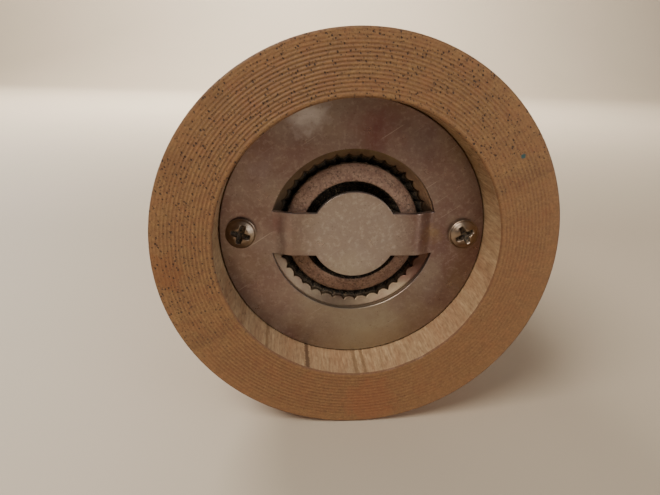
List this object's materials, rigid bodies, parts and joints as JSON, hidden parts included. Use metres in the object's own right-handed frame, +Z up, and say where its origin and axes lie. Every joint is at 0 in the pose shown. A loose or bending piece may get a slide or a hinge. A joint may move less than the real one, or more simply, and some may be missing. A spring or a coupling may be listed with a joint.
{
  "type": "hand burr grinder",
  "caption": "Turned wooden hand burr grinder: the head turns a square shaft and a conical burr inside a toothed ring above the recessed foot.",
  "frame": {"origin": "centre of the foot's flat ring, which the mill stands on", "axes": "+Z up along the turned axis, from the foot to the knob; X along the strap under the burr and through the two plate screws; Y across the strap"},
  "size_m": [0.058, 0.058, 0.1591],
  "materials": {
    "wood": "turned light brown hardwood, thinly oiled, with open pores and fine lathe grooves",
    "burr_steel": "hardened steel with a dull satin chamfer and dark stained teeth",
    "sintered_iron": "granular bare iron, slightly brown",
    "nickel_plate": "tarnished satin nickel plate",
    "bright_nickel": "polished nickel plate",
    "plated_steel": "zinc plated steel",
    "spring_steel": "drawn spring steel",
    "screw_steel": "worn plated screw steel with dirt in the recesses",
    "brass": "turned brass",
    "nylon": "natural nylon"
  },
  "bodies": {
    "housing": {"body": "wood", "burr_ring": "burr_steel", "ring_pins": "plated_steel", "retaining_plate": "nickel_plate", "plate_screws": "screw_steel", "spring_bridge": "plated_steel", "shaft_bush": "brass", "glide_ring": "nickel_plate"},
    "spring_carrier": {"spring_seat": "plated_steel", "spring": "spring_steel"},
    "spindle": {"drive_shaft": "plated_steel", "male_burr": "sintered_iron", "burr_clip": "spring_steel", "spring_washer": "plated_steel"},
    "head_assembly": {"head": "wood", "drive_plate": "plated_steel", "drive_screws": "screw_steel", "cap_washer": "nickel_plate"},
    "knob_assembly": {"knob": "bright_nickel", "knob_liner": "nylon"}
  },
  "joints": [
    {"name": "grind_spin", "type": "hinge", "parent": "housing", "child": "spring_carrier", "pos_m": [0, 0, 0.034], "axis": [0, 0, 1], "continuous": true},
    {"name": "burr_adjust", "type": "slide", "parent": "spring_carrier", "child": "spindle", "axis": [0, 0, 1], "range_m": [-0.0006, 0.0008], "deforming": ["spring"]},
    {"name": "head_lift", "type": "slide", "parent": "spring_carrier", "child": "head_assembly", "axis": [0, 0, 1], "range_m": [0, 0.065]},
    {"name": "knob_turn", "type": "hinge", "parent": "head_assembly", "child": "knob_assembly", "pos_m": [0, 0, 0.15], "axis": [0, 0, 1], "range_deg": [-361, 271]}
  ],
  "couplings": [
    {"joint": "knob_turn", "follows": "burr_adjust", "rad_per_m": -7854}
  ]
}
